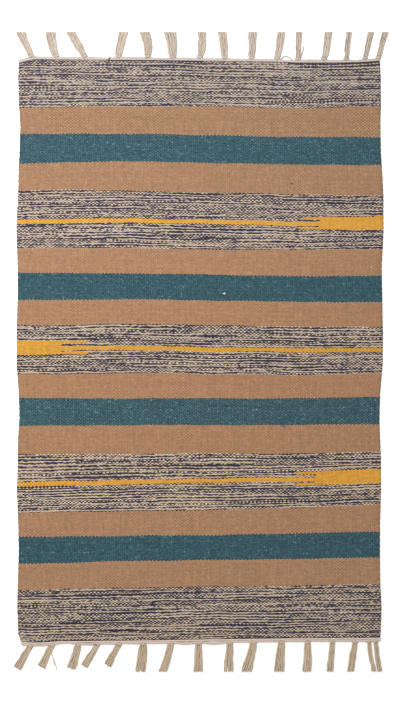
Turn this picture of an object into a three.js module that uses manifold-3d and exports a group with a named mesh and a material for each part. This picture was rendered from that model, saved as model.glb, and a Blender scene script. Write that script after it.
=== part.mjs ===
// Kilim rug of about 75 x 120 cm, lying flat, with a knotted fringe at each end.
// Millimetres, +Z up. X runs across the rug, +Y towards its upper end.
import * as THREE from 'three';
import Module from 'manifold-3d';

const wasm = await Module();
wasm.setup();

// Woven cloth
const clothThick = 4.2;
const rimThick = 2.8;
const rimWidth = 7;
const surfaceRise = 0.25;
const cellsAcross = 16;
const cellsAlong = 24;
const nominal = { left: -373, right: 371, bottom: -592, top: 593 };

// Selvedges: how far the left and right edges stand from the middle, at heights along the rug
const selvedges = [
  { y: -598, left: -369, right: 365.5 },
  { y: -585, left: -373, right: 368.0 },
  { y: -561, left: -374, right: 371.0 },
  { y: -496, left: -376, right: 371.5 },
  { y: -430, left: -373, right: 368.0 },
  { y: -316, left: -374, right: 369.0 },
  { y: -250, left: -374, right: 371.0 },
  { y: -184, left: -372.5, right: 368.5 },
  { y: -102, left: -372.5, right: 367.5 },
  { y: -4, left: -376, right: 375.5 },
  { y: 94, left: -374, right: 373.5 },
  { y: 160, left: -373.5, right: 371.5 },
  { y: 225, left: -375, right: 375.0 },
  { y: 291, left: -374, right: 376.0 },
  { y: 357, left: -373, right: 372.5 },
  { y: 422, left: -370, right: 369.0 },
  { y: 488, left: -371.5, right: 370.0 },
  { y: 553, left: -373, right: 370.5 },
  { y: 594, left: -371, right: 367.5 },
];

// Woven ends: where the first and last picks run, at places across the rug
const ends = [
  { x: -370, top: 593.0, bottom: -597.0 },
  { x: -340, top: 597.0, bottom: -598.0 },
  { x: -290, top: 596.5, bottom: -595.5 },
  { x: -190, top: 595.5, bottom: -594.5 },
  { x: -100, top: 595.0, bottom: -593.5 },
  { x: -20, top: 594.0, bottom: -592.2 },
  { x: 80, top: 592.5, bottom: -591.0 },
  { x: 150, top: 591.5, bottom: -590.0 },
  { x: 200, top: 590.0, bottom: -589.5 },
  { x: 275, top: 589.7, bottom: -588.7 },
  { x: 325, top: 590.7, bottom: -589.0 },
  { x: 350, top: 592.2, bottom: -588.2 },
  { x: 368, top: 593.8, bottom: -588.0 },
];

// Heading cord and the hitches that tie the tassels to it
const seam = 0.3;
const cordThick = 3.2;
const cordShoulder = 0.8;
const cordWidth = { top: 5.6, bottom: 6.8 };
const outwardOf = { top: 1, bottom: -1 };

// Sections of a hitch: how far past the cord's middle, and how wide and high it is there
const hitchShape = [
  { past: -0.2, width: 6, height: 3.6 },
  { past: 3.5, width: 10.5, height: 4.8 },
  { past: 8, width: 10, height: 4.0 },
];

// Corners of a hitch's section, as shares of its width and height
const hitchCorners = [
  { across: -0.4, up: 0 },
  { across: 0.4, up: 0 },
  { across: 0.5, up: 0.45 },
  { across: 0.3, up: 1 },
  { across: -0.3, up: 1 },
  { across: -0.5, up: 0.45 },
];

// Corners of a yarn's section, in the same way
const yarnCorners = [
  { across: -0.5, up: 0 },
  { across: 0.5, up: 0 },
  { across: 0.4, up: 1 },
  { across: -0.4, up: 1 },
];

// Tassel yarns start inside the hitch and lie in two layers, the lower one on the floor
const yarnRoot = 5;
const yarnLayers = 2;
const yarnHeight = 1.6;
const yarnGap = 0.32;
const yarnWidest = 2.7;
const yarnSpacing = 3.2;
const fewestYarns = 3;
const mostYarns = 6;
const yarnSteps = 3;
const tipScatter = 1.4;
const rootWidth = 9;
const fanPower = 0.8;

// Tassels from left to right: root and tip across the rug, how far the tip reaches,
// width of the brush at the tip, and the sideways bow at half length
const topTassels = [
  { root: -345, tip: -369, reach: 651, width: 11, bow: 0 },
  { root: -294, tip: -305, reach: 652, width: 18, bow: -3 },
  { root: -235, tip: -262, reach: 653, width: 14, bow: 0 },
  { root: -167, tip: -156, reach: 653, width: 16, bow: -1.5 },
  { root: -107, tip: -113, reach: 653, width: 18, bow: 1.5 },
  { root: -56, tip: -62, reach: 653, width: 22, bow: 1.5 },
  { root: -3, tip: 4, reach: 653, width: 16, bow: 3 },
  { root: 51, tip: 44, reach: 653, width: 16, bow: 1 },
  { root: 105, tip: 107, reach: 653, width: 15, bow: 0 },
  { root: 156, tip: 163, reach: 653, width: 15, bow: 1 },
  { root: 200, tip: 203, reach: 653, width: 11, bow: 0 },
  { root: 253, tip: 263, reach: 653, width: 14, bow: 2 },
  { root: 299, tip: 307, reach: 653, width: 12, bow: 0 },
  { root: 338, tip: 350, reach: 653, width: 10, bow: 0 },
  { root: 366, tip: 379, reach: 653, width: 12, bow: 0 },
];
const bottomTassels = [
  { root: -346, tip: -374, reach: -652, width: 13, bow: 0 },
  { root: -300, tip: -327, reach: -649, width: 13, bow: -1 },
  { root: -248, tip: -267, reach: -651, width: 15, bow: 1 },
  { root: -211, tip: -239, reach: -648, width: 13, bow: 0 },
  { root: -162, tip: -191, reach: -646, width: 13, bow: -1 },
  { root: -117, tip: -121, reach: -658, width: 18, bow: 1 },
  { root: -58, tip: -77, reach: -658, width: 19, bow: 1 },
  { root: -4, tip: -4, reach: -658, width: 20, bow: 0 },
  { root: 61, tip: 59, reach: -658, width: 19, bow: 0 },
  { root: 111, tip: 96, reach: -658, width: 20, bow: 1 },
  { root: 168, tip: 163, reach: -658, width: 21, bow: 0 },
  { root: 220, tip: 219, reach: -658, width: 18, bow: 1 },
  { root: 271, tip: 267, reach: -658, width: 14, bow: 0 },
  { root: 318, tip: 309, reach: -658, width: 13, bow: 0 },
  { root: 344, tip: 357, reach: -658, width: 10, bow: -1 },
  { root: 361, tip: 369, reach: -658, width: 11, bow: -1 },
];

const mix = THREE.MathUtils.lerp;

// Value of one column of a table at a place between its rows
function readTable(table, key, column, place) {
  let row = 1;
  while (row < table.length - 1 && table[row][key] < place) row += 1;
  const from = table[row - 1];
  const to = table[row];
  const share = THREE.MathUtils.clamp((place - from[key]) / (to[key] - from[key]), 0, 1);
  return mix(from[column], to[column], share);
}

// Repeatable scatter between -1 and 1
function scatter(a, b) {
  const wave = Math.sin(a * 12.9898 + b * 78.233) * 43758.5453;
  return (wave - Math.floor(wave)) * 2 - 1;
}

function geometryFrom(points, triangles) {
  const geometry = new THREE.BufferGeometry();
  geometry.setAttribute('position', new THREE.Float32BufferAttribute(points, 3));
  geometry.setIndex(triangles);
  return geometry;
}

// Woven cloth: an uneven outline, a flat underside and a top that thins to its rim

function gridPlaces(length, cells) {
  const inner = cells - 2;
  const rim = rimWidth / length;
  const places = [0];
  for (let i = 0; i <= inner; i += 1) places.push(mix(rim, 1 - rim, i / inner));
  places.push(1);
  return places;
}

function clothPoint(u, v) {
  const x = mix(nominal.left, nominal.right, u);
  const y = mix(nominal.bottom, nominal.top, v);
  return {
    x: mix(readTable(selvedges, 'y', 'left', y), readTable(selvedges, 'y', 'right', y), u),
    y: mix(readTable(ends, 'x', 'bottom', x), readTable(ends, 'x', 'top', x), v),
  };
}

function clothGeometry() {
  const us = gridPlaces(nominal.right - nominal.left, cellsAcross);
  const vs = gridPlaces(nominal.top - nominal.bottom, cellsAlong);
  const columns = us.length;
  const rows = vs.length;
  const upper = [];
  const lower = [];
  vs.forEach((v, j) => us.forEach((u, i) => {
    const place = clothPoint(u, v);
    const onRim = i === 0 || j === 0 || i === columns - 1 || j === rows - 1;
    const height = onRim ? rimThick : clothThick - surfaceRise + surfaceRise * scatter(i, j);
    upper.push(place.x, place.y, height);
    lower.push(place.x, place.y, 0);
  }));
  const under = columns * rows;
  const triangles = [];
  for (let j = 0; j < rows - 1; j += 1) {
    for (let i = 0; i < columns - 1; i += 1) {
      const a = j * columns + i;
      const b = a + 1;
      const c = a + columns + 1;
      const d = a + columns;
      triangles.push(a, b, c, a, c, d);
      triangles.push(under + a, under + c, under + b, under + a, under + d, under + c);
    }
  }
  const wall = (a, b) => triangles.push(a, under + b, under + a, a, b, under + b);
  for (let i = 0; i < columns - 1; i += 1) {
    wall(i + 1, i);
    wall((rows - 1) * columns + i, (rows - 1) * columns + i + 1);
  }
  for (let j = 0; j < rows - 1; j += 1) {
    wall(j * columns, (j + 1) * columns);
    wall((j + 2) * columns - 1, (j + 1) * columns - 1);
  }
  return geometryFrom([...upper, ...lower], triangles);
}

// A closed tube through cross-sections that all have the same number of corners
function tubeGeometry(sections) {
  const corners = sections[0].length;
  const points = sections.flat().flatMap((p) => [p.x, p.y, p.z]);
  const triangles = [];
  for (let s = 0; s < sections.length - 1; s += 1) {
    for (let k = 0; k < corners; k += 1) {
      const a = s * corners + k;
      const b = s * corners + ((k + 1) % corners);
      triangles.push(a, b, b + corners, a, b + corners, a + corners);
    }
  }
  const last = (sections.length - 1) * corners;
  for (let k = 1; k < corners - 1; k += 1) {
    triangles.push(0, k + 1, k);
    triangles.push(last, last + k, last + k + 1);
  }
  return geometryFrom(points, triangles);
}

// Heading cord: a narrow strip along the woven end, parted from it by the seam
function headingGeometry(end) {
  const outward = outwardOf[end];
  const sections = gridPlaces(nominal.right - nominal.left, cellsAcross).map((u) => {
    const place = clothPoint(u, end === 'top' ? 1 : 0);
    const near = place.y + outward * seam;
    const far = near + outward * cordWidth[end];
    const section = [
      { x: place.x, y: near, z: 0 },
      { x: place.x, y: far, z: 0 },
      { x: place.x, y: far - outward * cordShoulder, z: cordThick },
      { x: place.x, y: near + outward * cordShoulder, z: cordThick },
    ];
    return outward > 0 ? section : section.reverse();
  });
  return tubeGeometry(sections);
}

// Centre line of a tassel: its place and its sideways direction at a share of its length
function tasselLine(tassel, end, share) {
  const outward = outwardOf[end];
  const rootY = readTable(ends, 'x', end, tassel.root) + outward * (seam + cordWidth[end] / 2);
  const along = new THREE.Vector2(tassel.tip - tassel.root, tassel.reach - rootY);
  const side = new THREE.Vector2(along.y, -along.x).normalize().multiplyScalar(outward);
  const middle = new THREE.Vector2(tassel.root, rootY).addScaledVector(along, share);
  middle.addScaledVector(side, tassel.bow * Math.sin(Math.PI * share));
  return { middle, side, length: along.length() };
}

// A distance along a tassel as a share of its length
function shareOf(tassel, end, distance) {
  return distance / tasselLine(tassel, end, 0).length;
}

// A section that stands upright across a tassel, from its corners' shares
function uprightSection(corners, { middle, side }, offset, width, floor, height, end) {
  const section = corners.map(({ across, up }) => ({
    x: middle.x + side.x * (offset + across * width),
    y: middle.y + side.y * (offset + across * width),
    z: floor + up * height,
  }));
  return outwardOf[end] > 0 ? section.reverse() : section;
}

function yarnGeometry(tassel, end, slot, count, layer) {
  const start = shareOf(tassel, end, yarnRoot);
  const cut = shareOf(tassel, end, tipScatter * (1 + scatter(tassel.root + slot, layer)));
  const floor = layer * (yarnHeight + yarnGap);
  const sections = [];
  for (let s = 0; s <= yarnSteps; s += 1) {
    const share = mix(start, 1 - cut, s / yarnSteps);
    const line = tasselLine(tassel, end, share);
    const pitch = mix(rootWidth, tassel.width, share ** fanPower) / (count + layer);
    const width = Math.min(pitch - yarnGap, yarnWidest);
    const offset = (slot - (count - 1) / 2) * pitch;
    sections.push(uprightSection(yarnCorners, line, offset, width, floor, yarnHeight, end));
  }
  return tubeGeometry(sections);
}

// Hitch: a low lump where the tassel is tied over the heading cord, flat underneath
function hitchGeometry(tassel, end) {
  return tubeGeometry(hitchShape.map(({ past, width, height }) => {
    const line = tasselLine(tassel, end, shareOf(tassel, end, past));
    return uprightSection(hitchCorners, line, 0, width, 0, height, end);
  }));
}

function solidFrom(geometry) {
  return new wasm.Manifold(new wasm.Mesh({
    numProp: 3,
    vertProperties: new Float32Array(geometry.attributes.position.array),
    triVerts: new Uint32Array(geometry.index.array),
  }));
}

// A fringe: the heading cord with every hitch and yarn joined to it
function fringeGeometry(tassels, end) {
  let solid = solidFrom(headingGeometry(end));
  tassels.forEach((tassel) => {
    const yarns = Math.round(tassel.width / yarnSpacing);
    const lowest = THREE.MathUtils.clamp(yarns, fewestYarns, mostYarns);
    solid = solid.add(solidFrom(hitchGeometry(tassel, end)));
    for (let layer = 0; layer < yarnLayers; layer += 1) {
      const count = lowest - layer;
      for (let slot = 0; slot < count; slot += 1) {
        solid = solid.add(solidFrom(yarnGeometry(tassel, end, slot, count, layer)));
      }
    }
  });
  const mesh = solid.getMesh();
  return geometryFrom(Array.from(mesh.vertProperties), Array.from(mesh.triVerts));
}

const wovenCotton = new THREE.MeshStandardMaterial({ color: 0x9a8672, roughness: 0.95, metalness: 0 });
const fringeCotton = new THREE.MeshStandardMaterial({ color: 0xcdb99b, roughness: 0.95, metalness: 0 });

const pieces = [
  { name: 'rug_cloth', geometry: clothGeometry(), material: wovenCotton },
  { name: 'fringe_top', geometry: fringeGeometry(topTassels, 'top'), material: fringeCotton },
  { name: 'fringe_bottom', geometry: fringeGeometry(bottomTassels, 'bottom'), material: fringeCotton },
];

const rug = new THREE.Group();
pieces.forEach(({ name, geometry, material }) => {
  geometry.computeVertexNormals();
  const mesh = new THREE.Mesh(geometry, material);
  mesh.name = name;
  rug.add(mesh);
});

// The frame's origin is the middle of the whole rug with its fringes, on the floor
const whole = new THREE.Box3().setFromObject(rug);
const centre = whole.getCenter(new THREE.Vector3());
rug.position.set(-centre.x, -centre.y, -whole.min.z);

export default rug;
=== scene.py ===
# Kilim rug, flat woven from cotton, with a knotted fringe at each end. It lies flat on the floor.
# Tables are in millimetres from the middle of the cloth, +Y towards the upper end. Meshes are in metres.
import math

import bpy
import numpy as np
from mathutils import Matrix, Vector


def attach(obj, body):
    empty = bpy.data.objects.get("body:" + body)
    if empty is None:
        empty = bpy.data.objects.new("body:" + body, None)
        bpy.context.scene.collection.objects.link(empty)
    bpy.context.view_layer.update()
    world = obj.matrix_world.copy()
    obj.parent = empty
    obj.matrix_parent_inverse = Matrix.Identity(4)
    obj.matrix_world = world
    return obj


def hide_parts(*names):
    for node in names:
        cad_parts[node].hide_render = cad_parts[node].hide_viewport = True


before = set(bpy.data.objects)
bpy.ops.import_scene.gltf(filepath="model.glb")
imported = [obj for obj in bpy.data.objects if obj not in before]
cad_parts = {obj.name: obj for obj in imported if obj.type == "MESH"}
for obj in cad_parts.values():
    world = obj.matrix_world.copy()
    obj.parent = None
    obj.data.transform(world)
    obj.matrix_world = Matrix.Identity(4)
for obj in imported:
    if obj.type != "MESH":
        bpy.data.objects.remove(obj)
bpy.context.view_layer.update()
print("frame loaded,", len(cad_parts), "nodes")

mm = 0.001
rugMiddle = {"x": 2.679, "y": -2.134}  # the frame's origin, the middle of the rug with its fringes


# Camera, floor and light

studio = {
    "lens": 85.0,
    "sensor": 36.0,
    "seenLength": 1.4364,  # metres of rug and floor along the picture's long side
    "aim": (-0.4, 0.0),  # millimetres from the middle of the cloth
    "clothTop": 4.0,
    "floorSize": 9.0,
    "floorDrop": 0.2,  # millimetres, which keeps the floor clear of the underside
    "floorTone": 0.97,
    "fill": 0.75,
    "fillColour": (1.0, 0.985, 0.96, 1.0),
    "keyPower": 25.5,
    "keySize": 0.9,
    "keyPlace": (-0.65, 0.55, 1.5),
    "filterWidth": 1.2,  # pixels, which keeps the weave crisp
}


def addCamera():
    distance = studio["lens"] / studio["sensor"] * studio["seenLength"]
    spot = (
        (studio["aim"][0] - rugMiddle["x"]) * mm,
        (studio["aim"][1] - rugMiddle["y"]) * mm,
        studio["clothTop"] * mm + distance,
    )
    bpy.ops.object.camera_add(location=spot, rotation=(0, 0, 0))
    camera = bpy.context.object
    camera.name = "overhead camera"
    camera.data.lens = studio["lens"]
    camera.data.sensor_width = studio["sensor"]
    bpy.context.scene.camera = camera


def addLights():
    world = bpy.data.worlds.new("pale room")
    bpy.context.scene.world = world
    world.use_nodes = True
    background = world.node_tree.nodes["Background"]
    background.inputs["Color"].default_value = studio["fillColour"]
    background.inputs["Strength"].default_value = studio["fill"]
    bpy.ops.object.light_add(type="AREA", location=studio["keyPlace"])
    key = bpy.context.object
    key.name = "key softbox"
    key.data.energy = studio["keyPower"]
    key.data.size = studio["keySize"]
    key.rotation_euler = (-Vector(studio["keyPlace"])).to_track_quat("-Z", "Y").to_euler()


def addFloor():
    bpy.ops.mesh.primitive_plane_add(size=studio["floorSize"], location=(0, 0, -studio["floorDrop"] * mm))
    floor = bpy.context.object
    floor.name = "floor"
    material = bpy.data.materials.new("pale floor")
    material.use_nodes = True
    shader = material.node_tree.nodes["Principled BSDF"]
    shader.inputs["Base Color"].default_value = (*[studio["floorTone"]] * 3, 1)
    shader.inputs["Roughness"].default_value = 0.9
    floor.data.materials.append(material)


bpy.ops.object.select_all(action="DESELECT")
addCamera()
addLights()
addFloor()
bpy.context.scene.view_settings.view_transform = "Standard"
bpy.context.scene.cycles.filter_width = studio["filterWidth"]
print("camera, lights and floor set")


# Node helpers


# sRGB of 0 to 255 as a linear colour
def paint(red, green, blue):
    shares = [value / 255 for value in (red, green, blue)]
    return (*[s / 12.92 if s <= 0.04045 else ((s + 0.055) / 1.055) ** 2.4 for s in shares], 1.0)


def addNode(tree, kind, inputs, **settings):
    node = tree.nodes.new(kind)
    for name, value in settings.items():
        setattr(node, name, value)
    for key, value in inputs.items():
        if isinstance(value, bpy.types.NodeSocket):
            tree.links.new(value, node.inputs[key])
        else:
            node.inputs[key].default_value = value
    return node


def uvOf(tree, name):
    place = addNode(tree, "ShaderNodeUVMap", {}, uv_map=name).outputs[0]
    return addNode(tree, "ShaderNodeSeparateXYZ", {0: place}).outputs


def greyOf(tree, level):
    return addNode(tree, "ShaderNodeCombineColor", {0: level, 1: level, 2: level}).outputs[0]


# Smooth noise over two coordinates
def noiseAt(tree, across, along, detail=0.0):
    spot = addNode(tree, "ShaderNodeCombineXYZ", {0: across, 1: along}).outputs[0]
    inputs = {"Vector": spot, "Scale": 1.0, "Detail": detail}
    return addNode(tree, "ShaderNodeTexNoise", inputs, noise_dimensions="2D").outputs[0]


def newMaterial(name):
    material = bpy.data.materials.new(name)
    material.use_nodes = True
    tree = material.node_tree

    def calc(operation, *values, clamp=False):
        inputs = dict(enumerate(values))
        return addNode(tree, "ShaderNodeMath", inputs, operation=operation, use_clamp=clamp).outputs[0]

    def blend(share, first, second, kind="MIX"):
        inputs = {0: share, 6: first, 7: second}
        node = addNode(tree, "ShaderNodeMix", inputs, data_type="RGBA", blend_type=kind)
        return node.outputs[2]

    return material, tree, calc, blend


# Links a colour and a relief to the material's shader
def finishMaterial(material, colour, relief, look):
    tree = material.node_tree
    inputs = {"Height": relief, "Distance": look["bumpDepth"] * mm, "Strength": 1.0}
    bump = addNode(tree, "ShaderNodeBump", inputs).outputs[0]
    shader = tree.nodes["Principled BSDF"]
    tree.links.new(colour, shader.inputs["Base Color"])
    tree.links.new(bump, shader.inputs["Normal"])
    shader.inputs["Roughness"].default_value = look["roughness"]
    shader.inputs["Specular IOR Level"].default_value = look["shine"]
    shader.inputs["Sheen Weight"].default_value = look["sheen"]
    return material


# Woven cloth

cloth = {
    "warps": 195,
    "picks": 415,
    "left": -373.0,
    "right": 371.0,
    "topHeight": 3.85,
    "swell": 0.15,  # slow rise and fall of the top
    "swellSize": (34, 26),  # picks and warps to a bump
    "relief": 0.45,
    "reliefSpread": 0.25,
    "edgeHeight": 1.9,
    "sideSink": 0.6,  # how far the outermost floats lie below the rest
    "endSink": 0.5,
    "edgeTuck": 0.9,  # how far the underside's edge is drawn in
    "scallop": 0.2,
    "scallopSpread": 0.5,
    "bowRounding": 16,  # warps
    # Waves in the picks from uneven beating: height, then picks and warps to a bump
    "beating": [(1.1, 6, 26), (0.35, 1, 12), (0.9, 4, 9)],
    "tension": [(0.5, 16, 3), (0.4, 30, 12)],  # waves in the warps, in the same way
    "underStep": 4,  # cells of the top to one of the underside
    "seed": 11,
}

# How far the selvedges stand from the middle where they turn: height along the rug, left, right
selvedges = np.array([
    (-604, -363.5, 365.5), (-594, -368.5, 368), (-582, -373, 370), (-530, -375, 371.5),
    (-480, -374, 369), (-410, -372, 368.5), (-353, -373.5, 368.5), (-288, -376, 370.5),
    (-218, -374.5, 370.5), (-140, -371.5, 367.5), (-91, -372, 368.5), (-26, -376, 374),
    (40, -376, 374.5), (114, -374, 373.5), (170, -374.5, 372), (253, -377, 376),
    (319, -374.5, 375.5), (400, -371, 371), (460, -369, 369.5), (503, -372, 370.5),
    (560, -373, 370), (585, -372, 368.5), (594, -371, 368),
])

# Where the first and last picks run: place across the rug, top, bottom
ends = np.array([
    (-370, 590.5, -597), (-354, 595, -598), (-340, 597.5, -598), (-290, 596.5, -595.5), (-190, 595.5, -594.5),
    (-100, 595, -593.5), (-20, 594, -592.2), (80, 592.5, -591), (150, 591.5, -590),
    (200, 590, -589.5), (275, 589.7, -588.7), (325, 590.7, -589), (350, 592.2, -588.2),
    (368, 593.8, -588),
])

# How the picks bow: heights of a line between two picks, at five places across the rug
bowPlaces = (-365, -154, -41, 215, 365)
bows = [
    (5.5, (579.5, 578, 577, 573, 575.5)),
    (32.5, (497, 500.5, 500.5, 496, 500)),
    (52.5, (443, 444.5, 442.5, 437.5, 437.5)),
    (72.5, (383, 388, 386, 380.5, 380.5)),
    (93.5, (325, 328, 326, 318.5, 317.5)),
    (115.0, (265, 267, 264.5, 259, 259.5)),
    (134.5, (209, 210.5, 208, 205.5, 208)),
    (152.5, (159, 158.5, 156.5, 152, 153)),
    (171.5, (102.5, 106, 104, 99.5, 99)),
    (189.5, (51, 54.5, 52, 48, 47.5)),
    (206.0, (3.5, 5, 3.5, 0, 1)),
    (224.5, (-49, -45.5, -46.5, -51, -47)),
    (241.5, (-98, -98.5, -98, -97, -95.5)),
    (261.5, (-155, -153, -153, -152.5, -150)),
    (281.5, (-212, -211.5, -211.5, -211, -207.5)),
    (300.0, (-275, -269.5, -268, -264, -258)),
    (320.5, (-330, -326, -324, -321, -315)),
    (339.5, (-382, -379.5, -379, -374.5, -372)),
    (357.5, (-437, -432, -430.5, -427.5, -424)),
    (376.5, (-490.5, -487, -485, -482, -478)),
]


# Smooth noise between about -1 and 1, with bumps of so many rows and columns
def softNoise(draw, rows, columns, rowStep, columnStep):
    coarse = draw.uniform(-1, 1, (int(rows / rowStep) + 3, int(columns / columnStep) + 3))
    down = np.arange(rows) / rowStep
    across = np.arange(columns) / columnStep
    row = down.astype(int)
    column = across.astype(int)
    easeDown = down - row
    easeDown = (easeDown ** 2 * (3 - 2 * easeDown))[:, None]
    easeAcross = across - column
    easeAcross = (easeAcross ** 2 * (3 - 2 * easeAcross))[None, :]
    upper = coarse[row][:, column] * (1 - easeAcross) + coarse[row][:, column + 1] * easeAcross
    lower = coarse[row + 1][:, column] * (1 - easeAcross) + coarse[row + 1][:, column + 1] * easeAcross
    return upper * (1 - easeDown) + lower * easeDown


def smoothed(values, reach):
    padded = np.pad(values, reach, mode="edge")
    kernel = np.hanning(2 * reach + 3)[1:-1]
    return np.convolve(padded, kernel / kernel.sum(), mode="valid")


def endHeight(place, end):
    return np.interp(place, ends[:, 0], ends[:, 1 if end == "top" else 2])


# Place across the rug of a share of its width, at the given heights
def placeAcross(share, heights):
    left = np.interp(heights, selvedges[:, 0], selvedges[:, 1])
    right = np.interp(heights, selvedges[:, 0], selvedges[:, 2])
    return left + share * (right - left)


# Where each warp crosses each pick
def clothPlaces(warpsAt, picksAt):
    share = (warpsAt + 0.5) / cloth["warps"]
    nominal = cloth["left"] + share * (cloth["right"] - cloth["left"])
    knots = [-0.5] + [pick for pick, heights in bows] + [cloth["picks"] - 0.5]
    lines = [endHeight(nominal, "top")]
    for pick, heights in bows:
        lines.append(smoothed(np.interp(nominal, bowPlaces, heights), cloth["bowRounding"]))
    lines.append(endHeight(nominal, "bottom"))
    heights = np.array([np.interp(picksAt, knots, crossed) for crossed in np.array(lines).T]).T
    return placeAcross(share[None, :], heights), heights


def wavesOf(draw, waves, rows, columns):
    total = np.zeros((rows, columns))
    for height, rowStep, columnStep in waves:
        total += height * softNoise(draw, rows, columns, rowStep, columnStep)
    return total


def addMesh(name, points, faces, uvName, uvs):
    mesh = bpy.data.meshes.new(name)
    mesh.from_pydata(points.tolist(), [], faces)
    layer = mesh.uv_layers.new(name=uvName)
    layer.data.foreach_set("uv", np.asarray(uvs, np.float32).ravel())
    piece = bpy.data.objects.new(name, mesh)
    bpy.context.collection.objects.link(piece)
    mesh.shade_smooth()
    return piece


# Top of the cloth, one point for each float
def topOfCloth(warpsAt, picksAt):
    draw = np.random.RandomState(cloth["seed"])
    rows, columns = len(picksAt), len(warpsAt)
    x, y = clothPlaces(warpsAt, picksAt)
    inside = np.zeros((rows, columns))
    inside[1:-1, :] = 1
    y += inside * wavesOf(draw, cloth["beating"], rows, columns)
    x += wavesOf(draw, cloth["tension"], rows, columns)

    # Floats stand over every second warp, and each pick the other way round
    high = (np.arange(rows)[:, None] + np.arange(columns)[None, :]) % 2 == 0
    z = cloth["topHeight"] + cloth["swell"] * softNoise(draw, rows, columns, *cloth["swellSize"])
    relief = cloth["relief"] * (1 + cloth["reliefSpread"] * softNoise(draw, rows, columns, 1, 5))
    z += np.where(high, relief, -relief)
    z[:, [1, -2]] -= cloth["sideSink"]
    z[[1, -2], :] -= cloth["endSink"]

    # The weft turns round the outermost warps, two picks at a time
    for edge, inward in ((0, 1), (columns - 1, -1)):
        turns = np.where((np.arange(rows) + edge) % 4 < 2, 2.0, 0.0)
        turns += cloth["scallopSpread"] * softNoise(draw, rows, 1, 3, 1)[:, 0]
        x[:, edge] += inward * cloth["scallop"] * turns
    z[:, [0, -1]] = cloth["edgeHeight"]
    z[[0, -1], :] = cloth["edgeHeight"]
    return np.stack([x, y, z], -1), high


# Underside: the same outline, flat on the floor and coarser inside
def undersideOf(top, firstNumber):
    rows, columns = top.shape[:2]
    step = cloth["underStep"]
    kept = np.zeros((rows, columns), bool)
    kept[::step, ::step] = True
    kept[[0, -1], :] = True
    kept[:, [0, -1]] = True
    number = np.full((rows, columns), -1)
    number[kept] = firstNumber + np.arange(kept.sum())
    tuck = np.sign(top - top.mean((0, 1))) * cloth["edgeTuck"]
    tuck[:, 1:-1, 0] = 0
    tuck[1:-1, :, 1] = 0
    lower = top - tuck
    lower[..., 2] = 0
    faces = []
    for r in range(0, rows - 1, step):
        for k in range(0, columns - 1, step):
            ring = [(r, k + s) for s in range(step)] + [(r + s, k + step) for s in range(step)]
            ring += [(r + step, k + step - s) for s in range(step)] + [(r + step - s, k) for s in range(step)]
            faces.append([int(number[spot]) for spot in ring if kept[spot]])
    return lower, kept, number, faces


def weaveCloth():
    warps, picks = cloth["warps"], cloth["picks"]
    warpsAt = np.concatenate([[-0.5], np.arange(warps), [warps - 0.5]])
    picksAt = np.concatenate([[-0.5], np.arange(picks), [picks - 0.5]])
    rows, columns = len(picksAt), len(warpsAt)
    top, high = topOfCloth(warpsAt, picksAt)
    number = np.arange(rows * columns).reshape(rows, columns)
    a, b, c, d = number[:-1, :-1], number[:-1, 1:], number[1:, 1:], number[1:, :-1]
    fromHigh = high[:-1, :-1][..., None]
    faces = np.where(fromHigh, np.stack([d, c, b, a], -1), np.stack([a, d, c, b], -1)).reshape(-1, 4).tolist()
    lower, kept, underNumber, underFaces = undersideOf(top, rows * columns)
    faces += underFaces

    # Walls from the top's rim down to the underside
    around = [(0, k) for k in range(columns - 1)] + [(r, columns - 1) for r in range(rows - 1)]
    around += [(rows - 1, k) for k in range(columns - 1, 0, -1)] + [(r, 0) for r in range(rows - 1, 0, -1)]
    for here, after in zip(around, around[1:] + around[:1]):
        faces.append([int(grid[spot]) for grid, spot in (
            (number, here), (number, after), (underNumber, after), (underNumber, here)
        )])

    points = np.concatenate([top.reshape(-1, 3), lower[kept]])
    points -= (rugMiddle["x"], rugMiddle["y"], 0)
    shares = (warpsAt + 0.5)[None, :] / warps, 1 - (picksAt + 0.5)[:, None] / picks
    spots = np.stack(np.broadcast_arrays(*shares), -1)
    spots = np.concatenate([spots.reshape(-1, 2), spots[kept]])
    corners = np.concatenate([np.array(face) for face in faces])
    return addMesh("woven_cloth", points * mm, faces, "weave", spots[corners])


rugCloth = weaveCloth()
print("cloth woven,", len(rugCloth.data.polygons), "faces")


# Colours of the weave. Stripes are given as first and last pick, streaks also by first and last warp

yarns = {
    "tan": paint(174, 136, 104),
    "teal": paint(62, 92, 102),
    "navy": paint(50, 50, 72),
    "cream": paint(224, 204, 180),
    "peach": paint(192, 162, 136),
    "straw": paint(214, 197, 152),
    "gold": paint(222, 163, 64),
    "fleck": paint(158, 178, 180),
}
plainStripes = [(33, 93), (135, 189), (225, 281), (321, 376)]
tealStripes = [(53, 72), (153, 171), (242, 261), (340, 357)]
looseStripes = [(33, 52, 0.35), (53, 72, 0.5), (242, 261, 1.0)]  # less tightly beaten, and by how much
goldStreaks = [
    (114, 116, -1, 195, 0), (110, 119, 161, 195, 0), (110, 111, 151, 162, 3), (118, 119, 150, 162, 0),
    (109, 109, 190, 195, 0),
    (205, 207, -1, 195, 0), (201, 210, -1, 23, 0), (201, 202, 20, 37, 0), (209, 210, 20, 37, 0),
    (299, 301, -1, 195, 0), (295, 304, 160, 195, 0), (295, 296, 150, 162, 1.5), (303, 304, 150, 162, 0),
]
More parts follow.
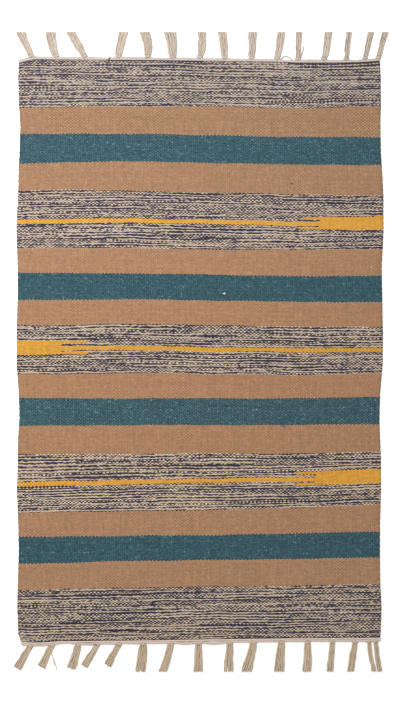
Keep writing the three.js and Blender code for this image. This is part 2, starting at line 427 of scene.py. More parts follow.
# How the shade of each yarn drifts down the rug: share of the length, share of the colour
fades = {
    "tan": [
        (0.1, (0.77, 0.755, 0.75)), (0.35, (0.808, 0.764, 0.755)), (0.56, (0.80, 0.737, 0.70)),
        (0.88, (0.81, 0.77, 0.755)),
    ],
    "teal": [
        (0.15, (0.835, 0.89, 0.905)), (0.39, (0.70, 0.81, 0.83)), (0.605, (0.855, 0.875, 0.86)),
        (0.84, (0.72, 0.815, 0.82)),
    ],
    "cream": [
        (0.04, (0.625, 0.653, 0.81)), (0.28, (0.71, 0.72, 0.87)), (0.5, (0.71, 0.725, 0.86)),
        (0.73, (0.765, 0.765, 0.865)), (0.95, (0.735, 0.747, 0.863)),
    ],
    "navy": [
        (0.04, (0.98, 0.87, 0.79)), (0.28, (0.74, 0.705, 0.705)), (0.5, (0.705, 0.66, 0.645)),
        (0.95, (0.82, 0.77, 0.71)),
    ],
    "gold": [(0.28, (0.81, 0.82, 0.89)), (0.5, (0.75, 0.755, 0.76)), (0.725, (0.825, 0.805, 0.80))],
}

# Where a mixed pick runs on into a plain stripe: pick, first and last warp
overruns = [(93, -1, 39), (321, -1, 160)]

# Picks where both strands are navy for a while: pick, first and last warp
navyRuns = [
    (0, 50, 98), (0, 145, 196), (2, 152, 196), (3, 40, 66), (23, 131, 154), (28, 134, 196),
    (302, 0, 30), (316, 112, 192),
    (381, 31, 98), (385, 130, 152), (388, 0, 17), (395, 32, 70), (401, 22, 35), (404, 98, 133), (407, 49, 63),
]

# Knots and specks on single floats: yarn, pick, warp
strays = [
    ("navy", 283, 47), ("navy", 0, 48), ("navy", 86, 146), ("cream", 166, 110),
    ("teal", 262, 142), ("teal", 263, 143), ("teal", 358, 148),
]
weave = {
    "crown": 0.18,  # how far a float rises at the middle of its warp
    "dive": 0.4,  # how deep its shade goes where it turns under the next warp
    "sink": 0.13,  # taken off the height before it turns into shade
    "fibres": (2.6, 11.0),  # fibres to a warp and to a pick
    # How far plain yarns vary from light to dark, in tan and in teal
    "strandShades": (-0.06, -0.14),
    "fibreShades": (0.16, 0.82),
    "tuftShades": (0.2, 0.62),
    "floatShades": (0.16, 0.26),
    # depth of the painted shade in the grooves between warps, in tan and in teal
    "grooveShades": (0.1, 0.24),
    "plainLift": 0.07,
    "packedShade": 0.86,  # where a plain yarn is packed too tight to show its picks
    "patchSpread": 2.0,  # from tight to loose patches
    "patchLevel": -0.08,
    # Spread and least of the shade from pick to pick, float to float and warp to warp
    "pickShade": (0.06, 0.97),
    "slowShade": (0.16, 0.92),
    "warpShade": (0.24, 0.88),
    "warmth": (-0.12, 0.06, 0.4),  # of the light between pale yarns: red, green, blue
    "strayCover": 0.65,
    "twist": (5.2, 4.0),  # turn of the ply across and along
    "twistDepth": 0.05,
    "fluff": (4.0, 3.0),  # tufts to a warp and to a pick
    "fluffDepth": 0.12,
    "packedFlat": 0.6,  # how much flatter a packed yarn is
    "bumpDepth": 0.9,
    "roughness": 0.92,
    "shine": 0.25,
    "sheen": 0.08,
}

# The mixed bands, where each pick has a navy and a cream strand side by side
mixed = {
    "topBand": (-1, 32),
    "topBandCalm": 0.35,  # the first mixed band is less chequered
    "topBandLess": 0.07,  # and shows less navy
    "navyShare": 0.05,
    # Slow noise: strength, scale across and along, shift. Pairing and swaps move the strands about,
    # the first in every second pick, and rolls turn the yarn over
    "pairing": (1.5, 0.010, 0.17, 3.3),
    "swaps": [(0.7, 0.012, 0.17, 91.3), (1.2, 0.015, 7.31, 40.7)],
    "rolls": [(1.0, 0.03, 5.77, 33.3), (1.0, 0.02, 0.31, 77.7)],
    "floatSwap": 0.05,
    "facing": 0.45,  # how far one strand hides the other
    "sorting": 13.0,  # how cleanly the two strands keep to their sides
    "floatScatter": 0.7,
    "fibreScatter": 1.3,
    "runLead": 0.7,  # how surely a navy run shows
    "strandEdge": 2.0,  # how sharp the line between the strands is
    "strawShare": 0.7,
}

# Pale fibres in the teal
fleck = {"rareness": 0.88, "thinness": 0.62, "most": 0.85}


# Works out which yarn shows at each point of the cloth
class WeaveNodes:
    def __init__(self):
        self.material, self.tree, self.calc, self.blend = newMaterial("kilim weave")
        place = uvOf(self.tree, "weave")
        self.warp = self.calc("MULTIPLY_ADD", place[0], cloth["warps"], -0.5)
        self.pick = self.calc("MULTIPLY_ADD", place[1], -cloth["picks"], cloth["picks"] - 0.5)
        self.findFloat()
        self.fibres = self.fineNoise(*weave["fibres"], detail=1.0)
        self.floatTone = self.perFloat(seed=3.0)
        self.pickTone = self.spotNoise(0.0, self.yarn, seed=7.0)
        self.teal = self.anyOf([self.within(self.yarn, *stripe) for stripe in tealStripes])
        self.plain = self.anyOf([self.within(self.yarn, *stripe) for stripe in plainStripes])
        for overrun, left, right in overruns:
            self.plain = self.calc("SUBTRACT", self.plain, self.onPick(overrun, left, right), clamp=True)

    # Of the two nearest picks, the one whose float stands higher shows
    def findFloat(self):
        calc = self.calc
        above = calc("FLOOR", self.pick)
        past = calc("SUBTRACT", self.pick, above)
        short = calc("SUBTRACT", 1.0, past)
        turn = calc("MULTIPLY", calc("SUBTRACT", self.warp, above), math.pi)
        self.wave = calc("COSINE", turn)
        crest = calc("MULTIPLY", self.wave, weave["crown"])
        heightAbove = calc("ADD", self.roundness(past), crest)
        heightBelow = calc("SUBTRACT", self.roundness(short), crest)
        self.isBelow = calc("GREATER_THAN", heightBelow, heightAbove)
        self.height = calc("MAXIMUM", heightAbove, heightBelow)
        self.yarn = calc("ADD", above, self.isBelow)
        self.side = calc("SUBTRACT", past, self.isBelow)
        pair = calc("FLOOR", calc("MULTIPLY_ADD", calc("SUBTRACT", self.warp, self.yarn), 0.5, 0.5))
        self.floatWarp = calc("MULTIPLY_ADD", pair, 2.0, self.yarn)

    # Height of a round yarn away from its middle, kept above zero
    def roundness(self, away):
        return self.calc("SQRT", self.calc("MULTIPLY_ADD", away, self.calc("MULTIPLY", away, -1), 1.0001))

    def spotNoise(self, across, along, seed):
        spot = addNode(self.tree, "ShaderNodeCombineXYZ", {0: across, 1: along, 2: seed}).outputs[0]
        noise = addNode(self.tree, "ShaderNodeTexWhiteNoise", {"Vector": spot}, noise_dimensions="3D")
        return noise.outputs[0]

    def perFloat(self, seed):
        return self.spotNoise(self.floatWarp, self.yarn, seed)

    def fineNoise(self, across, along, detail):
        x = self.calc("MULTIPLY", self.warp, across)
        y = self.calc("MULTIPLY", self.pick, along)
        return noiseAt(self.tree, x, y, detail)

    # Noise with one value for each float
    def slowNoise(self, across, along, shift):
        x = self.calc("MULTIPLY_ADD", self.floatWarp, across, shift)
        return noiseAt(self.tree, x, self.calc("MULTIPLY", self.yarn, along))

    # A value of 0 to 1 as a swing to either side of a base
    def swing(self, value, much, base):
        return self.calc("MULTIPLY_ADD", self.calc("SUBTRACT", value, 0.5), much, base)

    def drift(self, much, across, along, shift, base=0.0):
        return self.swing(self.slowNoise(across, along, shift), much, base)

    def byStripe(self, tan, teal):
        return self.calc("MULTIPLY_ADD", self.teal, teal - tan, tan)

    def within(self, value, first, last):
        return self.calc("COMPARE", value, (first + last) / 2, (last - first) / 2 + 0.1)

    def onPick(self, pick, left, right):
        inside = self.within(self.floatWarp, left, right)
        return self.calc("MULTIPLY", self.within(self.yarn, pick, pick), inside)

    def anyOf(self, masks):
        total = masks[0]
        for mask in masks[1:]:
            total = self.calc("MAXIMUM", total, mask)
        return total

    def faded(self, colour, name):
        downRug = self.calc("MULTIPLY", self.yarn, 1 / cloth["picks"])
        ramp = addNode(self.tree, "ShaderNodeValToRGB", {0: downRug})
        stops = ramp.color_ramp.elements
        while len(stops) < len(fades[name]):
            stops.new(0.5)
        for stop, (place, share) in zip(stops, fades[name]):
            stop.position = place
            stop.color = (*share, 1)
        return self.blend(1.0, colour, ramp.outputs[0], "MULTIPLY")


# Where the navy strand of a pick shows. It changes places with the cream one now and then
def navyPart(nodes):
    calc = nodes.calc
    topBand = nodes.within(nodes.yarn, *mixed["topBand"])
    turnabout = calc("COSINE", calc("MULTIPLY", nodes.yarn, math.pi))
    turnabout = calc("MULTIPLY", turnabout, calc("MULTIPLY_ADD", topBand, -mixed["topBandCalm"], 1.0))
    order = calc("MULTIPLY", nodes.drift(*mixed["pairing"]), turnabout)
    for swap in mixed["swaps"]:
        order = nodes.drift(*swap, base=order)
    order = nodes.swing(nodes.perFloat(seed=29.0), mixed["floatSwap"], order)
    order = calc("MINIMUM", calc("MAXIMUM", calc("MULTIPLY", order, mixed["sorting"]), -1.0), 1.0)
    facing = calc("ADD", *[nodes.drift(*roll) for roll in mixed["rolls"]])
    navyShare = calc("MULTIPLY_ADD", topBand, -mixed["topBandLess"], mixed["navyShare"])
    lead = calc("ADD", calc("MULTIPLY", facing, mixed["facing"]), navyShare)
    lead = calc("MULTIPLY_ADD", order, nodes.side, lead)
    lead = nodes.swing(nodes.floatTone, mixed["floatScatter"], lead)
    lead = nodes.swing(nodes.fibres, mixed["fibreScatter"], lead)
    runs = nodes.anyOf([nodes.onPick(*run) for run in navyRuns])
    lead = calc("MULTIPLY_ADD", runs, mixed["runLead"], lead)
    return calc("MULTIPLY_ADD", lead, mixed["strandEdge"], 0.5, clamp=True)


def mixedColour(nodes, navy):
    cream = nodes.blend(nodes.calc("POWER", nodes.pickTone, 3.0), yarns["cream"], yarns["peach"])
    straw = nodes.calc("MULTIPLY", nodes.perFloat(seed=61.0), mixed["strawShare"])
    cream = nodes.blend(straw, cream, yarns["straw"])
    return nodes.blend(navy, nodes.faded(cream, "cream"), nodes.faded(yarns["navy"], "navy"))


# Plain yarns have two strands too, of nearly one shade. A few pale fibres show in the teal
def plainColour(nodes, navy):
    calc = nodes.calc
    rare = calc("GREATER_THAN", nodes.floatTone, fleck["rareness"])
    flecks = calc("MULTIPLY", rare, calc("GREATER_THAN", nodes.fibres, fleck["thinness"]))
    paleness = calc("MULTIPLY", calc("POWER", nodes.perFloat(seed=17.0), 2.0), fleck["most"])
    teal = nodes.blend(calc("MULTIPLY", flecks, paleness), yarns["teal"], yarns["fleck"])
    colour = nodes.blend(nodes.teal, nodes.faded(yarns["tan"], "tan"), nodes.faded(teal, "teal"))
    shade = nodes.swing(navy, nodes.byStripe(*weave["strandShades"]), 1.0)
    shade = nodes.swing(nodes.fibres, nodes.byStripe(*weave["fibreShades"]), shade)
    half = calc("MULTIPLY_ADD", calc("GREATER_THAN", nodes.side, 0.0), 0.5, nodes.yarn)
    tufts = nodes.spotNoise(calc("FLOOR", calc("ADD", nodes.warp, 0.5)), half, seed=53.0)
    shade = nodes.swing(tufts, nodes.byStripe(*weave["tuftShades"]), shade)
    return nodes.blend(1.0, colour, greyOf(nodes.tree, shade), "MULTIPLY")


# Gold streaks across the bands. Some of their steps have slanted ends
def streakPart(nodes):
    streaks = []
    for first, last, left, right, slant in goldStreaks:
        across = nodes.floatWarp
        if slant:
            fromMiddle = nodes.calc("SUBTRACT", nodes.yarn, (first + last) / 2)
            across = nodes.calc("MULTIPLY_ADD", fromMiddle, slant, nodes.floatWarp)
        inside = nodes.within(nodes.yarn, first, last)
        streaks.append(nodes.calc("MULTIPLY", inside, nodes.within(across, left, right)))
    return nodes.anyOf(streaks)


# Light and dark from yarn to yarn, and painted shade in the grooves between warps that a plain yarn covers
def unevennessAndGrooveShade(nodes):
    calc = nodes.calc
    uneven = nodes.swing(nodes.floatTone, nodes.byStripe(*weave["floatShades"]), 0.98)
    slow = nodes.slowNoise(across=0.21, along=1.13, shift=11.0)
    warpLine = nodes.fineNoise(0.8, 0.05, detail=1.0)
    for value, name in ((nodes.pickTone, "pickShade"), (slow, "slowShade"), (warpLine, "warpShade")):
        uneven = calc("MULTIPLY", uneven, calc("MULTIPLY_ADD", value, *weave[name]))
    # Painted shade in the grooves between the warps, on plain yarns only
    groove = calc("MULTIPLY_ADD", calc("MULTIPLY", nodes.wave, nodes.wave), -1.0, 1.0)
    groove = calc("MULTIPLY", groove, nodes.byStripe(*weave["grooveShades"]))
    groove = calc("MULTIPLY", groove, nodes.plain)
    lift = calc("MULTIPLY_ADD", nodes.plain, weave["plainLift"], calc("SUBTRACT", 1.0, groove))
    return calc("MULTIPLY", uneven, lift)


# How tightly one yarn is packed, which hides its picks
def packing(nodes, streak):
    calc = nodes.calc
    loose = [calc("MULTIPLY", nodes.within(nodes.yarn, *picks), much) for *picks, much in looseStripes]
    patches = nodes.slowNoise(across=0.05, along=0.06, shift=57.0)
    patches = calc("MULTIPLY_ADD", patches, weave["patchSpread"], weave["patchLevel"])
    patches = calc("SUBTRACT", patches, nodes.anyOf(loose), clamp=True)
    return calc("MULTIPLY", calc("MAXIMUM", nodes.plain, streak), patches)


# Shade in the pinched places, less of it where a yarn is packed
def pinchShade(nodes, packed):
    calc = nodes.calc
    shown = calc("MULTIPLY", nodes.wave, calc("MULTIPLY_ADD", nodes.isBelow, -2.0, 1.0))
    depth = calc("MULTIPLY_ADD", shown, weave["dive"] - weave["crown"], nodes.height)
    pinched = calc("SUBTRACT", depth, weave["sink"], clamp=True)
    return calc("MULTIPLY_ADD", calc("SUBTRACT", weave["packedShade"], pinched), packed, pinched)


# Light that goes from yarn to yarn between the pale ones turns warmer
def bouncedShade(nodes, shade, navy):
    calc = nodes.calc
    pale = calc("MULTIPLY", calc("SUBTRACT", 1.0, navy), calc("SUBTRACT", 1.0, nodes.plain))
    levels = [calc("POWER", shade, calc("MULTIPLY_ADD", pale, much, 1.0)) for much in weave["warmth"]]
    return addNode(nodes.tree, "ShaderNodeCombineColor", dict(enumerate(levels))).outputs[0]


# Ply twist and fluff on each float
def weaveRelief(nodes, packed):
    calc = nodes.calc
    across, along = weave["twist"]
    twist = calc("SINE", calc("MULTIPLY_ADD", nodes.warp, across, calc("MULTIPLY", nodes.side, along)))
    flatter = calc("MULTIPLY_ADD", packed, -weave["packedFlat"], 1.0)
    relief = calc("MULTIPLY_ADD", twist, weave["twistDepth"], calc("MULTIPLY", nodes.height, flatter))
    fluff = nodes.fineNoise(*weave["fluff"], detail=2.0)
    return calc("MULTIPLY_ADD", fluff, weave["fluffDepth"], relief)


def weaveMaterial():
    nodes = WeaveNodes()
    navy = navyPart(nodes)
    streak = streakPart(nodes)
    colour = nodes.blend(nodes.plain, mixedColour(nodes, navy), plainColour(nodes, navy))
    colour = nodes.blend(streak, colour, nodes.faded(yarns["gold"], "gold"))
    for name, pick, warp in strays:
        cover = nodes.calc("MULTIPLY", nodes.onPick(pick, warp, warp), weave["strayCover"])
        colour = nodes.blend(cover, colour, yarns[name])
    packed = packing(nodes, streak)
    shade = nodes.calc("MULTIPLY", unevennessAndGrooveShade(nodes), pinchShade(nodes, packed))
    colour = nodes.blend(1.0, colour, bouncedShade(nodes, shade, navy), "MULTIPLY")
    return finishMaterial(nodes.material, colour, weaveRelief(nodes, packed), weave)


rugCloth.data.materials.append(weaveMaterial())
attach(rugCloth, "root")
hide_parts("rug_cloth")
print("weave coloured")


# Fringes: a heading of two cords along each end, tassels tied over it

fringe = {
    "seam": 0.3,
    "cordWidth": {"top": 6.2, "bottom": 7.0},
    "cordRadius": {"top": 1.75, "bottom": 1.95},
    "cordPly": 8.0,  # length of one turn of the plies
    "cordLobes": 0.14,  # how deep the plies are parted
    "cordLift": 0.35,
    "cordWave": 0.3,
    "cordStep": 1.2,
    "cordPast": 8,  # how far past the cloth the last slack reaches
    "rootPull": 0.8,  # how far a hitch draws the outer cord out
    "pullReach": 5.5,
    "yarnPly": 9.0,
    "yarnStep": 1.8,
    "yarns": (9, 6),  # lower and upper layer
    "layerRise": 1.3,
    "yarnFill": 0.62,  # radius of a yarn as a share of its room
    "yarnRadius": (0.85, 1.3),
    "yarnSpread": (0.85, 1.1),
    "seatSpread": 0.3,
    "raggedness": 2.4,  # how much sooner than its neighbours a yarn may end
    "opening": 0.14,  # share of its length over which a tassel opens out
    "fall": 9.0,  # distance over which a yarn comes down from the hitch
    "rootWidth": 6.0,
    "rootShare": 0.17,
    "clumping": 0.3,  # how far the yarns of a clump draw together
    "sway": [((0.7, 1.6), (0.3, 0.9)), ((2.5, 4), (0.1, 0.4))],  # turns and height of two waves
    "strayChance": 0.16,
    "strayMost": 2.6,
    "overshoot": 9.0,  # how far a yarn goes past the trimmed line before it is cut
    "hitchShadeDepth": (0.45, 1.0),  # how deep the shade is round a hitch
    "shadeReach": 2.6,
    "cordShade": (7.4, 1.3),  # place and reach of the shade beyond the hitch
    "trim": {"top": 653.0, "bottom": 658.0},  # yarns that reach this line are cut level with it
    "seed": {"top": 21, "bottom": 22},
    # How far the outer cord hangs out between two tassels, from left to right
    "slack": {
        "top": (0, -0.5, -0.9, -0.8, 0.2, -0.7, 0.3, -0.4, 0, -0.6, -1.6, 0.9, -0.5, -0.6, -0.4, 0),
        "bottom": (0, 1.4, -2.0, 2.2, 0.4, 0.3, 0.6, 3.2, 3.5, 0.5, 0.3, 0.5, 0.8, 0.7, 0.4, 0.3, 0),
    },
}
outwardOf = {"top": 1, "bottom": -1}

# The hitch of a tassel: turns across it, and loops over the cords
hitch = {
    "ply": 5.0,
    "height": 4.6,
    "foot": 1.1,
    "turnsPast": (3.5, 5.4),  # how far past the root
    "turnRadius": 1.0,
    "turnSweep": (1.06 * math.pi, -0.06 * math.pi),
    "overhang": 0.7,  # how far a turn stands past the yarns
    "tilt": 0.1,
    "turnTint": (0.5, 0.9),
    "loops": 4,
    "loopRadius": 0.85,
    "loopSweep": (1.05 * math.pi, 0.15),
    "loopMiddle": (0.9, 1.0),  # past the root and above the floor
    "loopSize": (2.9, 2.6),
    "loopWidth": 4.8,
    "loopTint": (0.6, 1.0),
}

# Tassels from left to right: root and tip across the rug, reach of the tip, width there, bow, clumps
topTassels = [
    (-345, -368.5, 653, 16, 0, 1), (-294, -306.5, 653, 21, -3, 1), (-235, -265.5, 653, 18.5, 0, 1),
    (-168.5, -156, 653, 21, -1.5, 1), (-107.5, -113.5, 653, 22, 3, 1), (-56.5, -62.5, 653, 26, 1.5, 1),
    (-2.5, 4, 653, 18, 3, 1), (50, 44.5, 653, 19, 1, 1), (105, 107.5, 653, 18, 0, 1),
    (156.5, 165.5, 653, 19, 1, 2), (200, 202.5, 653, 14, 0, 2), (252.5, 262.7, 653, 17, 2, 1),
    (299, 305, 653, 13, 0, 1), (336.5, 350.3, 653, 12, 0, 1), (364, 379.5, 653, 12.5, 0, 1),
]
bottomTassels = [
    (-346, -375, -652, 17, 0, 1), (-301, -326, -649, 17, -1, 1), (-249.5, -265, -652, 20, 1, 3),
    (-208, -238, -648, 16, 0, 1), (-164, -190, -646, 16, -1, 1), (-116.5, -123.3, -658, 24, 1, 2),
    (-59, -77, -658, 20, 1, 3), (-3, -5, -658, 21, 0, 1), (61, 57.5, -658, 20.5, 0, 1),
    (110, 94.5, -658, 23, 1, 3), (166.5, 161.5, -658, 22.5, 0, 1), (220, 217.5, -658, 20, 1, 1),
    (271.5, 266, -658, 15, 0, 1), (318, 308, -658, 15, 0, 1), (345, 356, -658, 9.5, -1, 1),
    (359.5, 368, -658, 10, -1, 1),
]

# Single threads that came loose: end, radius, places along them, greatest height, how dark
looseThreads = [
    ("bottom", 0.7, [(-305.5, -620), (-300.5, -634), (-299.5, -647)], 1.4, 0.0),
    ("bottom", 0.65, [(-300.5, -634), (-296.5, -645), (-293.5, -657)], 0.9, 0.0),
    ("bottom", 0.75, [(-117.5, -597), (-123, -603.5), (-126.5, -613), (-128.5, -645)], 5.2, 0.0),
    ("bottom", 0.7, [(-113, -598), (-119, -606), (-120, -620)], 5.0, 0.0),
    ("top", 1.0, [(163.5, 594), (168, 600), (174, 603.5), (181, 601), (188, 595.5), (195, 592)], 2.2, 0.1),
    ("top", 0.9, [(205, 597), (208, 607), (211, 617), (212.5, 624)], 2.0, 0.1),
    ("top", 0.5, [(46, 595), (58, 598.5), (70, 596.5), (78, 594)], 3.0, 0.0),
    ("top", 1.1, [(-189, 594), (-186.5, 597.5), (-184.5, 601.5)], 5.2, 1.1),
    ("bottom", 0.9, [(-219, -601), (-214, -602.8), (-209, -602)], 5.0, 0.8),
]


# Rings of points round a line, with the plies as lobes
def ringsRound(line, along, radius, ply, up, corners, lobes, turn):
    ahead = np.gradient(line, axis=0)
    ahead /= np.linalg.norm(ahead, axis=1)[:, None]
    up = np.broadcast_to(np.asarray(up, float), line.shape)
    up = up - ahead * (up * ahead).sum(1)[:, None]
    up /= np.linalg.norm(up, axis=1)[:, None]
    beside = np.cross(up, ahead)
    angle = np.arange(corners) * 2 * math.pi / corners
    twist = 2 * (angle[None, :] - turn - 2 * math.pi * along[:, None] / ply)
    size = np.broadcast_to(radius, len(line))[:, None] * (1 + lobes * np.cos(twist))
    rings = line[:, None, :]
    rings = rings + beside[:, None, :] * (size * np.cos(angle))[..., None]
    rings = rings + up[:, None, :] * (size * np.sin(angle))[..., None]
    rings[..., 2] = np.maximum(rings[..., 2], 0.0)
    return rings


# Collects strands of yarn into one mesh, with a UV that runs round and along each strand
class StrandBox:
    def __init__(self):
        self.points, self.faces, self.uvs = [], [], []
        self.tints, self.darkenings = [], []
        self.count = 0
        self.total = 0

    def add(self, line, radius, ply, up=(0, 0, 1), corners=8, tint=0.0, crease=0.0, lobes=0.05, turn=0.0):
        line = np.asarray(line, float)
        steps = len(line)
        along = np.concatenate([[0], np.cumsum(np.linalg.norm(np.diff(line, axis=0), axis=1))])
        rings = ringsRound(line, along, radius, ply, up, corners, lobes, turn)
        self.points.append(rings.reshape(-1, 3))
        self.addFaces(along, steps, corners)
        self.tints.append(np.full(steps * corners, tint))
        # Per point: painted shade round the hitches, and darker loose threads
        self.darkenings.append(np.repeat(np.broadcast_to(crease, steps), corners))
        self.total += steps * corners
        self.count += 1

    # Sides and end caps. Strands keep a little apart in the UV
    def addFaces(self, along, steps, corners):
        k = np.arange(corners)
        after = (k + 1) % corners
        s = np.arange(steps - 1)[:, None] * corners
        quads = np.stack([s + k, s + after, s + after + corners, s + k + corners], -1)
        self.faces += (quads.reshape(-1, 4) + self.total).tolist()
        start = self.count + 0.02 + 0.96 * k / corners
        stop = self.count + 0.02 + 0.96 * (k + 1) / corners
        low, high = along[:-1, None], along[1:, None]
        quadUvs = np.broadcast_arrays(start, low, stop, low, stop, high, start, high)
        self.uvs.append(np.stack(quadUvs, -1).reshape(-1, 2))
        last = self.total + (steps - 1) * corners
        self.faces.append((self.total + k[::-1]).tolist())
        self.faces.append((last + k).tolist())
        for end in (0, along[-1]):
            self.uvs.append(np.tile([self.count + 0.5, end], (corners, 1)))

    def build(self, name):
        points = np.concatenate(self.points) - (rugMiddle["x"], rugMiddle["y"], 0)
        piece = addMesh(name, points * mm, self.faces, "strand", np.concatenate(self.uvs))
        for field, values in (("tint", self.tints), ("crease", self.darkenings)):
            layer = piece.data.attributes.new(field, "FLOAT", "POINT")
            layer.data.foreach_set("value", np.concatenate(values).astype(np.float32))
        return piece


# A line beside the woven end
def edgeLine(end, offset):
    width = cloth["right"] - cloth["left"]
    share = np.arange(0, 1.0001, fringe["cordStep"] / width)
    y = endHeight(cloth["left"] + share * width, end)
    return placeAcross(share, y), y + outwardOf[end] * offset


# The two cords of a heading. The outer one hangs slack between the tassels
def addHeading(strands, tassels, end, draw):
    roots = np.array([tassel[0] for tassel in tassels], float)
    posts = [[cloth["left"] - fringe["cordPast"]], roots, [cloth["right"] + fringe["cordPast"]]]
    posts = np.concatenate(posts)
    radius = fringe["cordRadius"][end]
    for layer, offset in enumerate((fringe["seam"] + radius, fringe["cordWidth"][end] - radius)):
        x, y = edgeLine(end, offset)
        waves = [fringe["cordWave"] * softNoise(draw, len(x), 1, size, 1)[:, 0] for size in (22, 30)]
        y = y + waves[0]
        z = radius + fringe["cordLift"] + waves[1]
        if layer:
            gap = np.searchsorted(posts, x).clip(1, len(posts) - 1)
            share = ((x - posts[gap - 1]) / (posts[gap] - posts[gap - 1])).clip(0, 1)
            slack = np.array(fringe["slack"][end])[gap - 1]
            pull = fringe["rootPull"] * np.exp(-((x[:, None] - roots) / fringe["pullReach"]) ** 2).sum(1)
            y = y + outwardOf[end] * (slack * np.sin(math.pi * share) ** 1.5 + pull)
        line = np.stack([x, y, z], -1)
        lobes = fringe["cordLobes"]
        strands.add(line, radius, fringe["cordPly"], corners=10, tint=1.0, lobes=lobes, turn=layer)


# Cuts a yarn where it passes the line along which the fringe was trimmed
def trimmed(line, end, limit):
    reached = line[:, 1] * outwardOf[end]
    if reached[-1] <= limit:
        return line
    stop = int(np.argmax(reached > limit))
    share = (limit - reached[stop - 1]) / (reached[stop] - reached[stop - 1])
    return np.vstack([line[:stop], line[stop - 1] + share * (line[stop] - line[stop - 1])])


class Tassel:
    def __init__(self, shape, end, draw):
        root, tip, reach, self.width, self.bow, self.clumps = shape
        self.end = end
        self.draw = draw
        outward = outwardOf[end]
        rootY = endHeight(root, end) + outward * (fringe["seam"] + fringe["cordWidth"][end] / 2)
        self.start = np.array([root, rootY])
        along = np.array([tip, reach]) - self.start
        self.length = np.linalg.norm(along)
        self.ahead = along / self.length
        self.beside = np.array([self.ahead[1], -self.ahead[0]]) * outward
        self.rootWidth = fringe["rootWidth"] + fringe["rootShare"] * self.width
        self.trim = fringe["trim"][end]
        self.spare = fringe["overshoot"] if abs(reach) >= self.trim else 0.0
        # How deep the painted shade round this hitch is
        self.tight = draw.uniform(*fringe["hitchShadeDepth"])

    # Points at distances past the root and beside the tassel's middle
    def place(self, past, offset, z):
        share = np.minimum(past / self.length, 1)
        aside = self.bow * np.sin(math.pi * share) + offset
        flat = self.start + self.ahead * past[:, None] + self.beside * aside[:, None]
        return np.column_stack([flat, z])

    # Distance of a yarn from the tassel's middle, all along it
    def yarnOffset(self, share, seat, thick):
        draw = self.draw
        opening = 0.5 * (1 - np.exp(-share / fringe["opening"])) + 0.5 * share
        spread = self.rootWidth + (self.width - self.rootWidth) * opening
        if self.clumps > 1:
            home = (math.floor((seat + 0.5) * self.clumps) + 0.5) / self.clumps - 0.5
            seat = seat + (home - seat) * fringe["clumping"] * np.minimum(share, 1) ** 1.5
        waves = [share * draw.uniform(*turns) + draw.uniform() for turns, heights in fringe["sway"]]
        sway = 0.0
        for wave, (turns, heights) in zip(waves, fringe["sway"]):
            sway = sway + draw.uniform(*heights) * np.sin(2 * math.pi * wave)
        isStray = draw.uniform() < fringe["strayChance"]
        stray = isStray * draw.uniform(-fringe["strayMost"], fringe["strayMost"]) * share ** 2
        return seat * (spread - 1.6 * thick) + (sway + stray) * np.minimum(share / 0.25, 1)

    # A yarn comes down from the hitch to its layer
    def yarnHeight(self, past, layer, thick):
        draw = self.draw
        rise = np.exp(-past / fringe["fall"]) * (1.1 - 0.3 * layer)
        z = thick + layer * fringe["layerRise"] + draw.uniform(-0.15, 0.15) + rise
        z = z + 0.2 * np.sin(2 * math.pi * (past / self.length * draw.uniform(1, 3) + draw.uniform()))
        return np.maximum(z, thick * 0.9)

    def addYarn(self, strands, layer, slot, count):
        draw = self.draw
        steps = int((self.length + self.spare) / fringe["yarnStep"])
        stop = self.length + self.spare - draw.uniform(0, fringe["raggedness"])
        past = np.linspace(1.0, stop, steps)
        thick = np.clip(self.width / fringe["yarns"][0] * fringe["yarnFill"], *fringe["yarnRadius"])
        thick = thick * draw.uniform(*fringe["yarnSpread"])
        shift = draw.uniform(-fringe["seatSpread"], fringe["seatSpread"])
        seat = (slot + 0.5) / count - 0.5 + shift / count
        offset = self.yarnOffset(past / self.length, seat, thick)
        z = self.yarnHeight(past, layer, thick)
        line = trimmed(self.place(past, offset, z), self.end, self.trim - draw.uniform(0, 0.7))
        radius = thick * (1 - 0.3 * np.exp(-past / 6.0))
        # Painted shade on the yarn at its root under the hitch, and again just beyond the hitch
        shadePlace, reach = fringe["cordShade"]
        crease = np.exp(-(past / fringe["shadeReach"]) ** 2)
        crease = self.tight * (crease + 0.5 * np.exp(-((past - shadePlace) / reach) ** 2))
        turn = draw.uniform(0, 3.1)
        kept = len(line)
        strands.add(line, radius[:kept], fringe["yarnPly"], crease=crease[:kept], turn=turn)

    def addTurns(self, strands):
        sweep = np.linspace(*hitch["turnSweep"], 15)
        offset = (self.rootWidth / 2 + hitch["overhang"]) * np.cos(sweep)
        z = hitch["foot"] + (hitch["height"] - hitch["foot"] - hitch["turnRadius"]) * np.sin(sweep)
        for past in hitch["turnsPast"]:
            tilt = self.draw.uniform(-hitch["tilt"], hitch["tilt"]) * offset
            line = self.place(past + tilt, offset, z)
            tint = self.draw.uniform(*hitch["turnTint"])
            strands.add(line, hitch["turnRadius"], hitch["ply"], up=(*self.ahead, 0), tint=tint)

    def addLoops(self, strands):
        sweep = np.linspace(*hitch["loopSweep"], 12)
        past = hitch["loopMiddle"][0] + hitch["loopSize"][0] * np.cos(sweep)
        z = hitch["loopMiddle"][1] + hitch["loopSize"][1] * np.sin(sweep)
        # Painted shade on each loop, deeper where it goes down under the turns
        crease = self.tight * ((past - 0.6) / 1.2).clip(0, 1)
        up = (*self.beside, 0)
        for slot in range(hitch["loops"]):
            seat = (slot - (hitch["loops"] - 1) / 2) * self.rootWidth / hitch["loopWidth"]
            line = self.place(past, np.full(len(sweep), seat), z)
            tint = self.draw.uniform(*hitch["loopTint"])
            strands.add(line, hitch["loopRadius"], hitch["ply"], up=up, crease=crease, tint=tint)


def addTassel(strands, shape, end, draw):
    tassel = Tassel(shape, end, draw)
    for layer, count in enumerate(fringe["yarns"]):
        for slot in range(count):
            tassel.addYarn(strands, layer, slot, count)
    tassel.addTurns(strands)
    tassel.addLoops(strands)


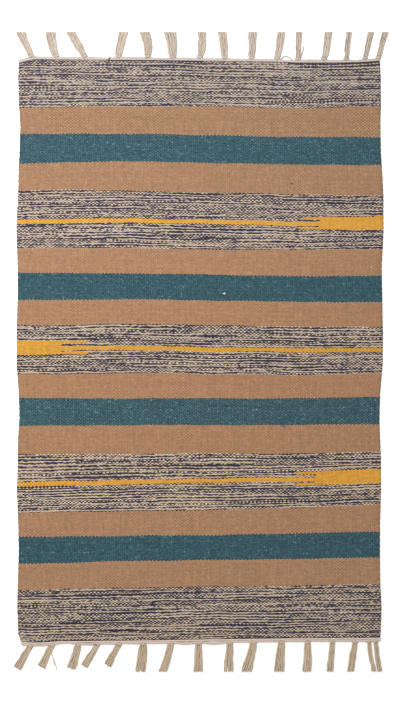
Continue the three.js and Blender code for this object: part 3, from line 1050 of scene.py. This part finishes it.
def addThread(strands, radius, places, rise, dark):
    corner = np.linspace(0, 1, len(places))
    share = np.linspace(0, 1, 8 * len(places))
    x, y = [smoothed(np.interp(share, corner, values), 4) for values in zip(*places)]
    z = radius + (rise - radius) * np.sin(math.pi * (0.15 + 0.85 * share))
    line = np.column_stack([x, y, z])
    strands.add(line, radius, hitch["ply"], corners=6, tint=0.6, crease=dark)


def makeFringe(end, tassels, name):
    draw = np.random.RandomState(fringe["seed"][end])
    strands = StrandBox()
    addHeading(strands, tassels, end, draw)
    for tassel in tassels:
        addTassel(strands, tassel, end, draw)
    for threadEnd, *thread in looseThreads:
        if threadEnd == end:
            addThread(strands, *thread)
    piece = strands.build(name)
    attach(piece, "root")
    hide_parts("fringe_" + end)
    print(name, "made,", len(piece.data.polygons), "faces")
    return piece


topFringe = makeFringe("top", topTassels, "top_fringe")
bottomFringe = makeFringe("bottom", bottomTassels, "bottom_fringe")


cotton = {
    "top": {"light": paint(192, 180, 168), "deep": paint(176, 160, 145), "cord": paint(186, 174, 166)},
    "bottom": {"light": paint(189, 173, 152), "deep": paint(177, 156, 131), "cord": paint(195, 177, 164)},
    "fibres": (5.0, 0.07),  # round a strand and to a millimetre of it
    "fibreTone": 1.4,
    "strandTone": 0.9,
    "toneBase": -0.65,
    "fibreShade": (0.24, 0.88),
    "plyShade": (0.05, 0.95),
    "creaseShade": -0.75,
    "fibreDepth": 0.6,
    "bumpDepth": 0.15,
    "roughness": 0.9,
    "shine": 0.25,
    "sheen": 0.1,
}


def cottonMaterial(name, shades):
    material, tree, calc, blend = newMaterial(name)
    place = uvOf(tree, "strand")
    strand = calc("FLOOR", place[0])
    around = calc("SUBTRACT", place[0], strand)
    tint = addNode(tree, "ShaderNodeAttribute", {}, attribute_name="tint").outputs["Fac"]
    # Per point: painted shade round the hitches, and darker loose threads
    crease = addNode(tree, "ShaderNodeAttribute", {}, attribute_name="crease").outputs["Fac"]
    tone = addNode(tree, "ShaderNodeTexWhiteNoise", {"W": strand}, noise_dimensions="1D").outputs[0]
    spot = [calc("MULTIPLY", place[k], cotton["fibres"][k]) for k in range(2)]
    fibre = noiseAt(tree, *spot, detail=2.0)
    lightness = calc("MULTIPLY_ADD", tone, cotton["strandTone"], cotton["toneBase"])
    lightness = calc("MULTIPLY_ADD", fibre, cotton["fibreTone"], lightness, clamp=True)
    colour = blend(tint, blend(lightness, shades["deep"], shades["light"]), shades["cord"])

    # The plies of a strand turn about each other, with painted shade in the grooves between them
    turns = calc("MULTIPLY", place[1], -4 * math.pi / fringe["yarnPly"])
    turns = calc("MULTIPLY_ADD", around, 4 * math.pi, turns)
    ply = calc("MULTIPLY_ADD", calc("COSINE", turns), 0.5, 0.5)
    shade = calc("MULTIPLY_ADD", fibre, *cotton["fibreShade"])
    shade = calc("MULTIPLY", shade, calc("MULTIPLY_ADD", calc("POWER", ply, 0.5), *cotton["plyShade"]))
    # Painted shade round the hitches, and darker loose threads
    shade = calc("MULTIPLY", shade, calc("MULTIPLY_ADD", crease, cotton["creaseShade"], 1.0))
    colour = blend(1.0, colour, greyOf(tree, shade), "MULTIPLY")
    return finishMaterial(material, colour, calc("MULTIPLY_ADD", fibre, cotton["fibreDepth"], ply), cotton)


topFringe.data.materials.append(cottonMaterial("upper fringe cotton", cotton["top"]))
bottomFringe.data.materials.append(cottonMaterial("lower fringe cotton", cotton["bottom"]))
print("fringes coloured")
